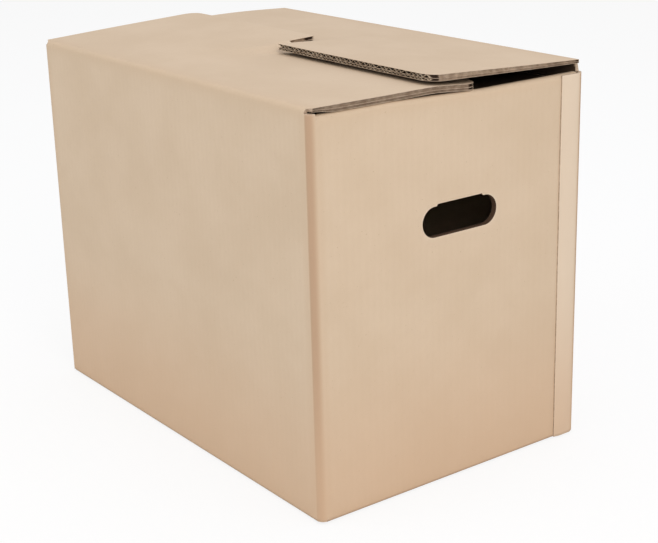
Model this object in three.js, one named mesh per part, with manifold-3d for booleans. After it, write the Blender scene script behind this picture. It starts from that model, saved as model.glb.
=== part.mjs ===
// A moving box of double-wall corrugated board: one sheet, creased, glued along one seam and folded shut.
// Millimetres, +Z up. The origin is under the middle of the box, and the end with the glued seam faces +X.

import * as THREE from "three";
import { mergeVertices, toCreasedNormals } from "three/addons/utils/BufferGeometryUtils.js";
import Module from "manifold-3d";

const wasm = await Module();
wasm.setup();

// Outside of the body, without the glue tab
const bodyLength = 512;
const bodyWidth = 336;
const panelHeight = 401; // from the floor to the top of the near long panel's fold
const cornerRadius = 8;

// Board
const board = 6.4;
const creasedBoard = 3.6; // where a crease presses it flat
const flapCreaseReach = 26; // how far into a flap it takes to swell to its full thickness
const wallCreaseReach = 16; // the same, down the wall below the fold
const topFoldRadius = 7;
const bottomFoldRadius = 4; // sharper, under the load
const layerGap = 0.4; // between sheets that lie on each other

// Top flaps of the two long panels. Each lies over the other with one half and under it with the other half.
const nearTopFlap = { foldLift: 0, reach: 200, overRise: 10, underCrown: 0, tipDrop: 4 };
const farTopFlap = { foldLift: 1, reach: 197, overRise: 9.5, underCrown: 2.4, tipDrop: 1 };
const topFlapSetback = 3; // from the outer face of the end panels
const topFlapCornerRadius = 16;
const slotWidth = 20; // the slot in each flap that takes the other flap
const slotClearance = 1; // from the slot's end to the middle of the box
const twistAtSlot = 12; // half the width of the twist between the two halves of a flap
const twistAtFold = 90;
const twistSpread = 80; // the length over which the twist widens towards the fold

// Top flaps of the two end panels, folded in first, beneath the long ones
const endFoldDrop = 11; // their folds lie this much lower
const endFlapReach = 197;
const endFlapSag = 7;

// Bottom flaps: the long ones lie flat and meet in the middle, the end ones lie on them inside
const bottomFlapSetback = 20;
const bottomSeam = 1;

// Corner posts, where four slots leave the board standing straight up
const postDrop = 7.5; // from the top of the near fold
const postFoot = 2;
const postOverlap = 2;

// Glue tab on the outside of the end panel
const tabWidthTop = 23;
const tabWidthBottom = 28;
const tabStand = 2.6; // how far it stands out from the end panel
const tabEnd = 1.5; // the tab stops this far above the floor

// Hand hole in each end panel, its flap pushed in and up
const handHoleWidth = 94;
const handHoleHeight = 30.5;
const handHoleBottom = 256.5;
const handHoleOffset = 8; // from the middle of the panel towards the right, seen from outside
const handCreaseWidth = 57;
const handCreaseRise = 2;
const handFlapRise = THREE.MathUtils.degToRad(60); // above level
const handFlapKerf = 0.5;

// Flutes in the board's cut edges, as two rows of channels between three liners
const liner = 0.35;
const medium = 0.3;
const flutes = { outerPitch: 7.9, innerPitch: 6.5, outerHeight: 3.1, channelDepth: 12, groove: 1.6 };

const cornerSteps = 6;
const wallOverlap = 4; // how far a flap's sheet runs on down inside its wall
const mergeDistance = 1e-4;
const past = 1; // how far a cutting shape runs past the face that it opens

const kraft = new THREE.MeshStandardMaterial({ color: 0xd2b694, roughness: 0.85, metalness: 0 });

const halfLength = bodyLength / 2;
const halfWidth = bodyWidth / 2;
const slotHalf = slotWidth / 2;
const postWidth = cornerRadius + postOverlap;
const endFoldHeight = panelHeight - endFoldDrop;
const longFoldHeight = (flap) => panelHeight + flap.foldLift;
const lowestTopFold = Math.min(endFoldHeight, longFoldHeight(nearTopFlap), longFoldHeight(farTopFlap));
const postTop = panelHeight - postDrop;
const wallTop = lowestTopFold - topFoldRadius - wallCreaseReach;
const wallBottom = bottomFoldRadius + wallCreaseReach;

function smooth(value) {
  return THREE.MathUtils.smoothstep(value, 0, 1);
}

function solid(geometry) {
  geometry.deleteAttribute("normal");
  geometry.deleteAttribute("uv");
  const merged = mergeVertices(geometry, mergeDistance);
  const vertProperties = new Float32Array(merged.getAttribute("position").array);
  const triVerts = new Uint32Array(merged.index.array);
  return new wasm.Manifold(new wasm.Mesh({ numProp: 3, vertProperties, triVerts }));
}

function box(sizeX, sizeY, sizeZ, z) {
  return solid(new THREE.BoxGeometry(sizeX, sizeY, sizeZ).translate(0, 0, z));
}

function joined(solids) {
  return solids.reduce((sum, next) => sum.add(next));
}

// A closed sheet over a grid. place turns a column, a row and a side into a point: side 0 is the outer face,
// side 1 the inner one. Cells that isOpen names are left out.
function sheet(columns, rows, place, isOpen = () => false) {
  const points = [];
  for (const row of rows) {
    for (const column of columns) {
      points.push(...place(column, row, 0).toArray(), ...place(column, row, 1).toArray());
    }
  }
  const corner = (i, j, side) => (j * columns.length + i) * 2 + side;
  const middle = (lines, i) => (lines[i] + lines[i + 1]) / 2;
  const inGrid = (i, j) => i >= 0 && j >= 0 && i < columns.length - 1 && j < rows.length - 1;
  const isFilled = (i, j) => inGrid(i, j) && !isOpen(middle(columns, i), middle(rows, j));
  const triangles = [];
  const quad = (a, b, c, d) => triangles.push(a, b, c, a, c, d);
  const edge = (i0, j0, i1, j1) => {
    quad(corner(i0, j0, 0), corner(i0, j0, 1), corner(i1, j1, 1), corner(i1, j1, 0));
  };
  for (let j = 0; j < rows.length - 1; j++) {
    for (let i = 0; i < columns.length - 1; i++) {
      if (!isFilled(i, j)) continue;
      quad(corner(i, j, 0), corner(i + 1, j, 0), corner(i + 1, j + 1, 0), corner(i, j + 1, 0));
      quad(corner(i, j, 1), corner(i, j + 1, 1), corner(i + 1, j + 1, 1), corner(i + 1, j, 1));
      if (!isFilled(i, j - 1)) edge(i, j, i + 1, j);
      if (!isFilled(i + 1, j)) edge(i + 1, j, i + 1, j + 1);
      if (!isFilled(i, j + 1)) edge(i + 1, j + 1, i, j + 1);
      if (!isFilled(i - 1, j)) edge(i, j + 1, i, j);
    }
  }
  const geometry = new THREE.BufferGeometry();
  geometry.setAttribute("position", new THREE.Float32BufferAttribute(points, 3));
  geometry.setIndex(triangles);
  return solid(geometry);
}

// The frame of a wall: its outer face is at y = 0, +y points into the box and +z up.
function wallFrame(angle, distance) {
  const outwards = new THREE.Matrix4().makeTranslation(0, -distance, 0);
  return new THREE.Matrix4().makeRotationZ(angle).multiply(outwards);
}

// The same frame turned over, so that a flap drawn on the wall's top comes on its bottom
function overturned(frame) {
  return frame.clone().multiply(new THREE.Matrix4().makeRotationY(Math.PI));
}

// A flap and the top of its wall, in the wall's frame. u runs along the fold. v runs up the wall to 0, round
// the fold to its radius, and on along the flap, where it is the distance from the wall's outer face. depth
// runs from 0 on the board's outer face to 1 on its inner one.
function foldedBoard(frame, foldHeight, foldRadius, rise) {
  const swell = (distance, reach) => THREE.MathUtils.lerp(creasedBoard, board, smooth(distance / reach));
  const inWallFrame = (u, v, depth) => {
    if (v < 0) {
      return new THREE.Vector3(u, depth * swell(-v, wallCreaseReach), foldHeight - foldRadius + v);
    }
    if (v < foldRadius) {
      const angle = (v / foldRadius) * (Math.PI / 2);
      const radius = foldRadius - depth * creasedBoard;
      const y = foldRadius - radius * Math.cos(angle);
      const z = foldHeight - foldRadius + radius * Math.sin(angle);
      return new THREE.Vector3(u, y, z);
    }
    const thickness = swell(v - foldRadius, flapCreaseReach);
    return new THREE.Vector3(u, v, foldHeight + rise(u, v) - depth * thickness);
  };
  return (u, v, depth) => inWallFrame(u, v, depth).applyMatrix4(frame);
}

// The rows of a sheet from inside its wall, round the fold and into the flap as far as the crease reaches
function rowsToCrease(wallStart, foldRadius) {
  const wallRows = [1, 0.7, 0.35].map((share) => -share * wallCreaseReach);
  const foldRows = [0, 0.25, 0.5, 0.75, 1].map((share) => share * foldRadius);
  const creaseRows = [0.3, 0.65, 1].map((share) => foldRadius + share * flapCreaseReach);
  return [wallStart, ...wallRows, ...foldRows, ...creaseRows];
}

function topRows(foldHeight) {
  return rowsToCrease(wallTop - wallOverlap - (foldHeight - topFoldRadius), topFoldRadius);
}

function bottomRows() {
  return rowsToCrease(-wallCreaseReach - wallOverlap, bottomFoldRadius);
}

function distinct(lines) {
  const sorted = [...lines].sort((a, b) => a - b);
  return sorted.filter((line, i) => i === 0 || line - sorted[i - 1] > 0.05);
}

// Pulls the square corner of a flap in to an arc, and leaves the rest of the flap where it is.
function roundedCorner(u, v, halfSpan, reach, radius) {
  const across = (Math.abs(u) - halfSpan + radius) / radius;
  const along = (v - reach + radius) / radius;
  if (across <= 0 || along <= 0) return [u, v];
  const newAcross = across * Math.sqrt(1 - (along * along) / 2);
  const newAlong = along * Math.sqrt(1 - (across * across) / 2);
  return [Math.sign(u) * (halfSpan - radius + newAcross * radius), reach - radius + newAlong * radius];
}

// The long top flap: its half at u < 0 lies over the other flap and rises to its free edge, its half at u > 0
// lies under it, and between them it twists, most sharply where the two slots meet.
function longTopFlap(frame, flap) {
  const { reach, overRise, underCrown, tipDrop } = flap;
  const foldHeight = longFoldHeight(flap);
  const lapStart = bodyWidth - Math.max(nearTopFlap.reach, farTopFlap.reach);
  const span = halfLength - topFlapSetback;
  const slotEnd = halfWidth - slotClearance;

  const rise = (u, v) => {
    const along = (v - topFoldRadius) / (reach - topFoldRadius);
    const over = overRise * along;
    const crown = underCrown * Math.sin(Math.PI * THREE.MathUtils.clamp(along, 0, 1));
    const under = crown - tipDrop * smooth((v - lapStart) / (reach - lapStart));
    const twist = THREE.MathUtils.lerp(twistAtSlot, twistAtFold, smooth((lapStart - v) / twistSpread));
    return THREE.MathUtils.lerp(over, under, THREE.MathUtils.smoothstep(u, -twist, twist));
  };
  const square = foldedBoard(frame, foldHeight, topFoldRadius, rise);
  const place = (u, v, depth) => square(...roundedCorner(u, v, span, reach, topFlapCornerRadius), depth);

  const cornerShares = [1, 0.67, 0.33, 0];
  const twistColumns = [0.5, 1, 1.4, 3, 9].map((share) => share * slotHalf);
  const cornerColumns = cornerShares.map((share) => span - share * topFlapCornerRadius);
  const panelEdge = halfLength - cornerRadius;
  const sideColumns = [...twistColumns, span * 0.65, ...cornerColumns, panelEdge];
  const columns = distinct([...sideColumns.map((u) => -u), 0, ...sideColumns]);
  const lapRows = [0, 0.45, 0.8, 1].map((share) => THREE.MathUtils.lerp(lapStart, slotEnd, share));
  const cornerRows = cornerShares.map((share) => reach - share * topFlapCornerRadius);
  const middleRows = [(lapStart + topFoldRadius + flapCreaseReach) / 2, (slotEnd + cornerRows[0]) / 2];
  const rows = distinct([...topRows(foldHeight), ...middleRows, ...lapRows, ...cornerRows]);

  const isSlot = (u, v) => Math.abs(u) < slotHalf && v > slotEnd;
  const isRootNotch = (u, v) => Math.abs(u) > panelEdge && v < topFoldRadius / 2;
  const whole = sheet(columns, rows, place, (u, v) => isSlot(u, v) || isRootNotch(u, v));
  const cuts = [...fluteChannels(place, span, reach), ...edgeGrooves(place, span, rows)];
  return whole.subtract(joined(cuts));
}

// Bends a shape drawn in the flat board on to the folded board: x along the fold, y through the board as a
// share of its thickness, z along the flap.
function bent(geometry, place) {
  const position = geometry.getAttribute("position");
  for (let i = 0; i < position.count; i++) {
    position.setXYZ(i, ...place(position.getX(i), position.getZ(i), position.getY(i)).toArray());
  }
  return solid(geometry);
}

// The two rows of channels between the three liners, as shares of the board's thickness
function fluteRows() {
  const outerTop = liner;
  const outerBottom = liner + flutes.outerHeight;
  const innerTop = outerBottom + liner;
  const innerBottom = board - liner;
  return [
    { top: outerTop / board, bottom: outerBottom / board, pitch: flutes.outerPitch },
    { top: innerTop / board, bottom: innerBottom / board, pitch: flutes.innerPitch },
  ];
}

// Open ends of the flutes along the free edge of the half that lies on top: each pitch has one channel above
// the wavy sheet and one below it.
function fluteChannels(place, span, reach) {
  const first = -span + topFlapCornerRadius;
  const last = -slotHalf - medium;
  const channels = [];
  for (const { top, bottom, pitch } of fluteRows()) {
    const count = Math.floor((last - first) / pitch);
    const start = first + (last - first - count * pitch) / 2;
    const web = medium / board / 2;
    for (let i = 0; i < count; i++) {
      const left = start + i * pitch;
      channels.push(channel(place, reach, left, pitch, top, bottom - web));
      if (i < count - 1) channels.push(channel(place, reach, left + pitch / 2, pitch, bottom, top + web));
    }
  }
  return channels;
}

function channel(place, reach, left, pitch, base, tip) {
  const triangle = new THREE.Shape();
  triangle.moveTo(left + medium, base);
  triangle.lineTo(left + pitch - medium, base);
  triangle.lineTo(left + pitch / 2, tip);
  const depth = flutes.channelDepth + past;
  const bar = new THREE.ExtrudeGeometry(triangle, { depth, bevelEnabled: false });
  return bent(bar.translate(0, 0, reach - flutes.channelDepth), place);
}

// Long grooves between the liners in the two end edges of a flap, which run along the flutes
function edgeGrooves(place, span, rows) {
  const start = topFoldRadius + flapCreaseReach / 2;
  const end = rows[rows.length - 1] - topFlapCornerRadius;
  const grooveRows = distinct([start, ...rows.filter((row) => row > start && row < end), end]);
  const grooves = [];
  for (const { top, bottom } of fluteRows()) {
    const groovePlace = (u, v, side) => place(u, v, side === 0 ? top : bottom);
    for (const edge of [[-span - past, -span + flutes.groove], [span - flutes.groove, span + past]]) {
      grooves.push(sheet(edge, grooveRows, groovePlace));
    }
  }
  return grooves;
}

// The short top flap, which sags a little into the box from its fold to its free edge
function endTopFlap(frame) {
  const span = halfWidth - cornerRadius;
  const rise = (u, v) => (-endFlapSag * (v - topFoldRadius)) / (endFlapReach - topFoldRadius);
  const rows = [...topRows(endFoldHeight), endFlapReach];
  return sheet([-span, span], rows, foldedBoard(frame, endFoldHeight, topFoldRadius, rise));
}

// The bottom flaps are drawn as top flaps whose fold is at height 0, and are then turned over.
function longBottomFlap(frame) {
  const wallSpan = halfLength - cornerRadius;
  const flapSpan = halfLength - bottomFlapSetback;
  const rows = [...bottomRows(), halfWidth - bottomSeam / 2];
  const columns = [-wallSpan, -flapSpan, flapSpan, wallSpan];
  const isSide = (u, v) => Math.abs(u) > flapSpan && v > bottomFoldRadius;
  return sheet(columns, rows, foldedBoard(overturned(frame), 0, bottomFoldRadius, () => 0), isSide);
}

function endBottomFlap(frame) {
  const span = halfWidth - cornerRadius;
  const climbEnd = bottomFlapSetback - past;
  const climb = (v) => (board + layerGap) * smooth((v - bottomFoldRadius) / (climbEnd - bottomFoldRadius));
  const climbShares = [0.25, 0.5, 0.75, 1];
  const climbRows = climbShares.map((share) => THREE.MathUtils.lerp(bottomFoldRadius, climbEnd, share));
  const rows = distinct([...bottomRows(), ...climbRows, endFlapReach]);
  return sheet([-span, span], rows, foldedBoard(overturned(frame), 0, bottomFoldRadius, (u, v) => -climb(v)));
}

function roundedRectangle(path, minX, maxX, minY, maxY, radius) {
  path.moveTo(minX + radius, minY);
  path.lineTo(maxX - radius, minY);
  path.absarc(maxX - radius, minY + radius, radius, -Math.PI / 2, 0);
  path.lineTo(maxX, maxY - radius);
  path.absarc(maxX - radius, maxY - radius, radius, 0, Math.PI / 2);
  path.lineTo(minX + radius, maxY);
  path.absarc(minX + radius, maxY - radius, radius, Math.PI / 2, Math.PI);
  path.lineTo(minX, minY + radius);
  path.absarc(minX + radius, minY + radius, radius, Math.PI, Math.PI * 1.5);
  return path;
}

function extruded(shape, depth) {
  return new THREE.ExtrudeGeometry(shape, { depth, bevelEnabled: false, curveSegments: cornerSteps });
}

// The four walls as one ring, open along its top and bottom edges except at the four corner posts
function wallRing() {
  const rectangle = (path, x, y, radius) => roundedRectangle(path, -x, x, -y, y, radius);
  const outline = rectangle(new THREE.Shape(), halfLength, halfWidth, cornerRadius);
  const hollow = rectangle(new THREE.Path(), halfLength - board, halfWidth - board, cornerRadius - board);
  outline.holes.push(hollow);
  const ring = solid(extruded(outline, postTop - postFoot).translate(0, 0, postFoot));
  const openLength = bodyLength - 2 * postWidth;
  const openWidth = bodyWidth - 2 * postWidth;
  const topHeight = postTop - wallTop + past;
  const bottomHeight = wallBottom + past;
  const windows = [];
  const topWindow = { height: topHeight, z: wallTop + topHeight / 2 };
  const bottomWindow = { height: bottomHeight, z: wallBottom - bottomHeight / 2 };
  for (const { height, z } of [topWindow, bottomWindow]) {
    windows.push(box(openLength, bodyWidth + 2 * past, height, z));
    windows.push(box(bodyLength + 2 * past, openWidth, height, z));
  }
  return ring.subtract(joined(windows));
}

// Turns a shape drawn in x and y and extruded along z, so that it is drawn in y and z and runs along x
function acrossEnd(geometry) {
  const axes = [new THREE.Vector3(0, 1, 0), new THREE.Vector3(0, 0, 1), new THREE.Vector3(1, 0, 0)];
  return geometry.applyMatrix4(new THREE.Matrix4().makeBasis(...axes));
}

// The glue tab: the far long panel's board, pressed flat, lapped round the corner on to the end panel
function glueTab() {
  const face = new THREE.Shape();
  face.moveTo(halfWidth - tabWidthBottom, tabEnd);
  face.lineTo(halfWidth + past, tabEnd);
  face.lineTo(halfWidth + past, postTop);
  face.lineTo(halfWidth - tabWidthTop, postTop);
  const inside = board / 2;
  const strip = acrossEnd(extruded(face, inside + tabStand + past)).translate(halfLength - inside, 0, 0);
  const front = halfLength + tabStand;
  const plan = roundedRectangle(new THREE.Shape(), 0, front, 0, halfWidth, cornerRadius + tabStand);
  return solid(strip).intersect(solid(extruded(plan, postTop)));
}

function obround(width, height, middle, bottom) {
  const left = middle - width / 2;
  return roundedRectangle(new THREE.Shape(), left, left + width, bottom, bottom + height, height / 2);
}

function handHole(turn) {
  const depth = board + 2 * past;
  const window = extruded(obround(handHoleWidth, handHoleHeight, handHoleOffset, handHoleBottom), depth);
  const creaseHeight = handHoleHeight / 2 + handCreaseRise;
  const creaseMiddle = handHoleBottom + handHoleHeight + handCreaseRise - creaseHeight / 2;
  acrossEnd(window).translate(halfLength - board - past, 0, 0);
  const crease = new THREE.BoxGeometry(depth, handCreaseWidth, creaseHeight);
  crease.translate(halfLength - board / 2, handHoleOffset, creaseMiddle);
  return solid(window.rotateZ(turn)).add(solid(crease.rotateZ(turn)));
}

// The piece pushed in at a hand hole hangs on its crease along the top edge and points in and up.
function handFlap(turn) {
  const width = handHoleWidth - 2 * handFlapKerf;
  const height = handHoleHeight - handFlapKerf;
  const plate = extruded(obround(width, height, 0, 0), board);
  const hingeX = halfLength - board - layerGap;
  const hingeZ = handHoleBottom + handHoleHeight + handCreaseRise;
  const lean = Math.PI / 2 - handFlapRise;
  acrossEnd(plate).translate(-board, 0, 0).rotateY(-lean).translate(hingeX, handHoleOffset, hingeZ);
  const bead = new THREE.CylinderGeometry(creasedBoard / 2, creasedBoard / 2, handCreaseWidth - 2 * past, 12);
  bead.translate(hingeX, handHoleOffset, hingeZ);
  return solid(plate.rotateZ(turn)).add(solid(bead.rotateZ(turn)));
}

// The whole sheet, folded
function carton() {
  const longWalls = [wallFrame(0, halfWidth), wallFrame(Math.PI, halfWidth)];
  const endWalls = [wallFrame(Math.PI / 2, halfLength), wallFrame(-Math.PI / 2, halfLength)];
  const flaps = [
    longTopFlap(longWalls[0], nearTopFlap),
    longTopFlap(longWalls[1], farTopFlap),
    ...endWalls.map(endTopFlap),
    ...longWalls.map(longBottomFlap),
    ...endWalls.map(endBottomFlap),
  ];
  const body = joined([wallRing(), glueTab(), ...flaps]);
  const ends = [0, Math.PI];
  return body.subtract(joined(ends.map(handHole))).add(joined(ends.map(handFlap)));
}

function mesh(name, shape, material) {
  const { vertProperties, triVerts } = shape.getMesh();
  const geometry = new THREE.BufferGeometry();
  geometry.setAttribute("position", new THREE.Float32BufferAttribute(vertProperties, 3));
  geometry.setIndex([...triVerts]);
  const piece = new THREE.Mesh(toCreasedNormals(geometry, THREE.MathUtils.degToRad(30)), material);
  piece.name = name;
  return piece;
}

// The tab makes the box longer on one side only, so the sheet is moved back until the box is centred.
const movingBox = new THREE.Group();
const blank = mesh("carton_blank", carton(), kraft);
blank.position.x = -tabStand / 2;
movingBox.add(blank);

export default movingBox;
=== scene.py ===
import math

import bpy
from mathutils import Matrix, Vector, noise


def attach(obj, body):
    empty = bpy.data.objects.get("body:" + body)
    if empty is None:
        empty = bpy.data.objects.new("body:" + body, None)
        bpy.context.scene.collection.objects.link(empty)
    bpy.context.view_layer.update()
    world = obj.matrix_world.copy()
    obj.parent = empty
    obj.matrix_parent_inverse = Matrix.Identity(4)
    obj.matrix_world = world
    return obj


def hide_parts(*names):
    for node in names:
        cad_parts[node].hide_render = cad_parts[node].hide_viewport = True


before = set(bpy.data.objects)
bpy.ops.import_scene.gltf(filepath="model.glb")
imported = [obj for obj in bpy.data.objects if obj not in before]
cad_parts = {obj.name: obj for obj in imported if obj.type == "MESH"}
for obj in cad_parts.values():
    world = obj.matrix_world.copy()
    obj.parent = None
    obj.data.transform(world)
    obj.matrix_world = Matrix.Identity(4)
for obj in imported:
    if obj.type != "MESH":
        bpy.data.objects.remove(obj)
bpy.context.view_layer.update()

# Sizes in this script are millimetres. Points become metres as they go into a mesh.
metre = 0.001

# The sheet, measured on the outside of the folded box
carton = {
    "cornerRadius": 8,
    "board": 6.4,
    "creasedBoard": 3.6,  # where a crease presses it thin
    "liner": 0.35,
    "outerFlute": 3.1,
    "topFoldRadius": 5,
    "bottomFoldRadius": 4,
    "wallCreaseReach": 16,
    "flapCreaseReach": 26,
    "flatReach": 90,  # a wall is flat this near its folds
    "flatReachAcross": 70,  # and this near its corners
    "waveReach": 60,  # a flap is flat this near its fold
    "cornerCreaseReach": 14,
    "topFlapSpan": 254.5,  # from the middle of a long top flap to its end edge
    "topFlapCorner": 16,
    "slotHalf": 10,
    "slotEnd": 167,
    "lapStart": 136,
    "wideningReach": 24,  # how far from its ends a flap widens past its panel
    "twistAtSlot": 12,
    "twistAtFold": 90,
    "twistSpread": 80,
    "bottomFlapSpan": 236,
    "bottomClimb": 6.8,
    "bottomClimbEnd": 19,
    "tabWidthTop": 30.5,
    "tabWidthBottom": 30,
    "tabStand": 2.6,
    "tabEdgePress": 1.3,  # how much its free edge is pressed in
    "tabEdgeRipple": 0.35,
    "tabFill": 0.96,  # how much of the stand is board
    "tabFoot": 1.5,
    "tabTop": 389.5,
    "postFoot": 2,
    "longPostTop": 397,  # where a corner post meets a long panel
    "nearPostTop": 396,
    "shortPostTop": 385,
    "openEdge": 10,  # how deep the flutes are open at a free edge
    "sideEdge": 2,  # the same at an edge that runs along the flutes
    "sharpAngle": 38,  # in degrees, between faces that show an edge
    "shiftX": -1.3,  # centres the box with its glue tab
}

# The short top flaps sink under the long ones, and their folds are higher on the side that carries one.
shortPanel = {
    "distance": 256,
    "half": 160,
    "foldHeight": 390,
    "reach": 197,
    "bottomReach": 197,
    "sag": 7,
    "dip": 8,
    "dipReach": 34,
    "tilt": 4.2,
    "tiltStart": 36,
    "tiltSpread": 112,
    "tiltFrom": 300,
}

longPanel = {"distance": 168, "half": 248, "bottomReach": 167.5}

panels = {
    "far": {
        **longPanel,
        "turn": 180,
        "foldHeight": 402,
        "reach": 197,
        "overRise": 9.5,  # how far its free edge rises where it lies on top
        "underCrown": 2.4,  # how far it bulges where it lies below
        "tipDrop": 1,
        "creaseReach": 175,
        "place": 1,
    },
    "back": {**shortPanel, "turn": -90, "place": 2},
    "near": {
        **longPanel,
        "turn": 0,
        "foldHeight": 401,
        "reach": 200,
        "overRise": 10,
        "underCrown": 0,
        "tipDrop": 4,
        "place": 3,
    },
    "front": {**shortPanel, "turn": 90, "place": 4},
}

rowEnd = 200  # the row value of every flap's free edge

handHole = {
    "width": 94,
    "height": 30.5,
    "bottom": 256.5,
    "middle": 6,
    "creaseHalf": 28.5,
    "creaseRise": 2,
    "creaseReach": 6,
    "flapLean": 30,  # degrees from upright
    "flapGap": 0.4,
    "kerf": 0.5,
    "sheetPitch": 400,  # keeps the pieces apart on the flat sheet
    "sheetHeight": 272,
}

waves = {
    "height": 0.8,
    "across": 150,
    "up": 130,
    "fineAcross": 46,
    "fineUp": 60,
    "fineShare": 0.3,
}


def lerp(start, end, share):
    return start + (end - start) * share


def smooth(share):
    share = min(1, max(0, share))
    return share * share * (3 - 2 * share)


def creased(share):
    return lerp(carton["creasedBoard"], carton["board"], share)


# The board's slow waves with finer ones on them, different on each panel
def uneven(panel, u, v, share):
    spot = Vector((u / waves["across"], v / waves["up"], panel["place"] * 7.3))
    finer = Vector((u / waves["fineAcross"], v / waves["fineUp"], panel["place"] * 3.1 + 20))
    return share * waves["height"] * (noise.noise(spot) + waves["fineShare"] * noise.noise(finer))


# Points are worked out in a panel's own frame: u along it, y from its outer face into the box, z up.
def inRoom(panel, point):
    turn = math.radians(panel["turn"])
    u, y, z = point
    y -= panel["distance"]
    return (u * math.cos(turn) - y * math.sin(turn), u * math.sin(turn) + y * math.cos(turn), z)


def pulledIn(across, along):
    return across * math.sqrt(1 - along * along / 2), along * math.sqrt(1 - across * across / 2)


# Pulls the square corner of a flap in to an arc
def roundedCorner(u, v, span, reach, radius):
    across = (abs(u) - span + radius) / radius
    along = (v - reach + radius) / radius
    if across <= 0 or along <= 0:
        return u, v
    across, along = pulledIn(across, along)
    return math.copysign(span - radius + across * radius, u), reach - radius + along * radius


# Pulls the square opening in the grid in to the hand hole's round ends, with its raised crease at the top
def aroundHandHole(u, z):
    radius = handHole["height"] / 2
    fromMiddle = u - handHole["middle"]
    fromCentre = z - handHole["bottom"] - radius
    if abs(fromMiddle) > handHole["width"] / 2 + 0.01 or abs(fromCentre) > radius + 0.01:
        return u, z
    across = (abs(fromMiddle) - handHole["width"] / 2 + radius) / radius
    along = abs(fromCentre) / radius
    if across > 0 and along > 0:
        across, along = pulledIn(min(1, across), min(1, along))
        fromMiddle = math.copysign(handHole["width"] / 2 - radius + across * radius, fromMiddle)
        fromCentre = math.copysign(along * radius, fromCentre)
    if fromCentre > radius - 0.01 and abs(fromMiddle) < handHole["creaseHalf"]:
        fromCentre += handHole["creaseRise"]
    return handHole["middle"] + fromMiddle, handHole["bottom"] + radius + fromCentre


def wallTop(panel):
    return panel["foldHeight"] - carton["topFoldRadius"]


# A short flap's fold follows the long flap that lies on it, and is higher on that side.
def foldTilt(panel, u):
    if "tilt" not in panel:
        return 0
    return panel["tilt"] * min(1, max(0, (panel["tiltStart"] - u) / panel["tiltSpread"]))


def wallPoint(panel, u, z, depth):
    fromFolds = smooth((wallTop(panel) - z) / carton["wallCreaseReach"])
    fromFolds *= smooth((z - carton["bottomFoldRadius"]) / carton["wallCreaseReach"])
    share = fromFolds * smooth((panel["half"] - abs(u)) / carton["cornerCreaseReach"])
    wave = smooth((wallTop(panel) - z) / carton["flatReach"]) * smooth(z / carton["flatReach"])
    wave *= smooth((panel["half"] - abs(u)) / carton["flatReachAcross"])
    if "sag" in panel:
        u, z = aroundHandHole(u, z)
        z += foldTilt(panel, u) * smooth((z - panel["tiltFrom"]) / (wallTop(panel) - panel["tiltFrom"]))
    return (u, depth * creased(share) - uneven(panel, u, z, wave), z), 1 - share


# How far a top flap rises above the height of its fold
def flapRise(panel, u, v):
    radius = carton["topFoldRadius"]
    along = (v - radius) / (panel["reach"] - radius)
    if "sag" in panel:
        return -panel["sag"] * along - panel["dip"] * smooth((v - radius) / panel["dipReach"])
    over = panel["overRise"] * along
    crown = panel["underCrown"] * math.sin(math.pi * min(1, max(0, along)))
    lapped = (v - carton["lapStart"]) / (panel["reach"] - carton["lapStart"])
    under = crown - panel["tipDrop"] * smooth(lapped)
    spread = smooth((carton["lapStart"] - v) / carton["twistSpread"])
    twist = lerp(carton["twistAtSlot"], carton["twistAtFold"], spread)
    return lerp(over, under, smooth((u + twist) / (2 * twist)))


def topPoint(panel, u, v, depth):
    radius = carton["topFoldRadius"]
    flatShare = smooth((v - radius) / carton["waveReach"])
    height = panel["foldHeight"] + foldTilt(panel, u) * (1 - flatShare)
    if v < radius:
        angle = v / radius * math.pi / 2
        arm = radius - depth * carton["creasedBoard"]
        return (u, radius - arm * math.cos(angle), height - radius + arm * math.sin(angle)), 1
    if "overRise" in panel:
        u, v = roundedCorner(u, v, carton["topFlapSpan"], panel["reach"], carton["topFlapCorner"])
    nearFold = smooth((v - radius) / carton["flapCreaseReach"])
    share = nearFold
    if "creaseReach" in panel:
        share = min(1, (v - radius) / panel["creaseReach"])
    waveOffset = 500
    bump = uneven(panel, u, v + waveOffset, 0.5 * smooth((v - radius) / carton["waveReach"]))
    return (u, v, height + flapRise(panel, u, v) + bump - depth * creased(share)), 1 - nearFold


def bottomPoint(panel, u, v, depth):
    radius = carton["bottomFoldRadius"]
    if v < radius:
        angle = v / radius * math.pi / 2
        arm = radius - depth * carton["creasedBoard"]
        return (u, radius - arm * math.cos(angle), radius - arm * math.sin(angle)), 1
    share = smooth((v - radius) / carton["flapCreaseReach"])
    climb = 0
    if "sag" in panel:
        climb = carton["bottomClimb"] * smooth((v - radius) / (carton["bottomClimbEnd"] - radius))
    return (u, v, climb + depth * creased(share)), 1 - share


# Widens a panel's columns to the width of its flap
def widened(u, half, span, start):
    reach = carton["wideningReach"]
    return math.copysign(abs(u) + (span - half) * smooth((abs(u) - half + reach) / reach) * start, u)


def panelPoint(panel, u, zone, value, depth):
    isLong = "overRise" in panel
    if zone == "wall":
        return wallPoint(panel, u, lerp(carton["bottomFoldRadius"], wallTop(panel), value), depth)
    if zone == "top":
        if isLong:
            start = smooth((value - carton["topFoldRadius"] / 2) / (carton["topFoldRadius"] / 2))
            u = widened(u, panel["half"], carton["topFlapSpan"], start)
        if value > carton["slotEnd"]:
            share = (value - carton["slotEnd"]) / (rowEnd - carton["slotEnd"])
            value = lerp(carton["slotEnd"], panel["reach"], share)
        return topPoint(panel, u, value, depth)
    if isLong:
        start = smooth((value - carton["bottomFoldRadius"] / 2) / (carton["bottomFoldRadius"] / 2))
        u = widened(u, panel["half"], carton["bottomFlapSpan"], start)
    begin = carton["topFoldRadius"] + carton["flapCreaseReach"]
    if value > begin:
        value = lerp(begin, panel["bottomReach"], (value - begin) / (rowEnd - begin))
    return bottomPoint(panel, u, value, depth)


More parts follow.
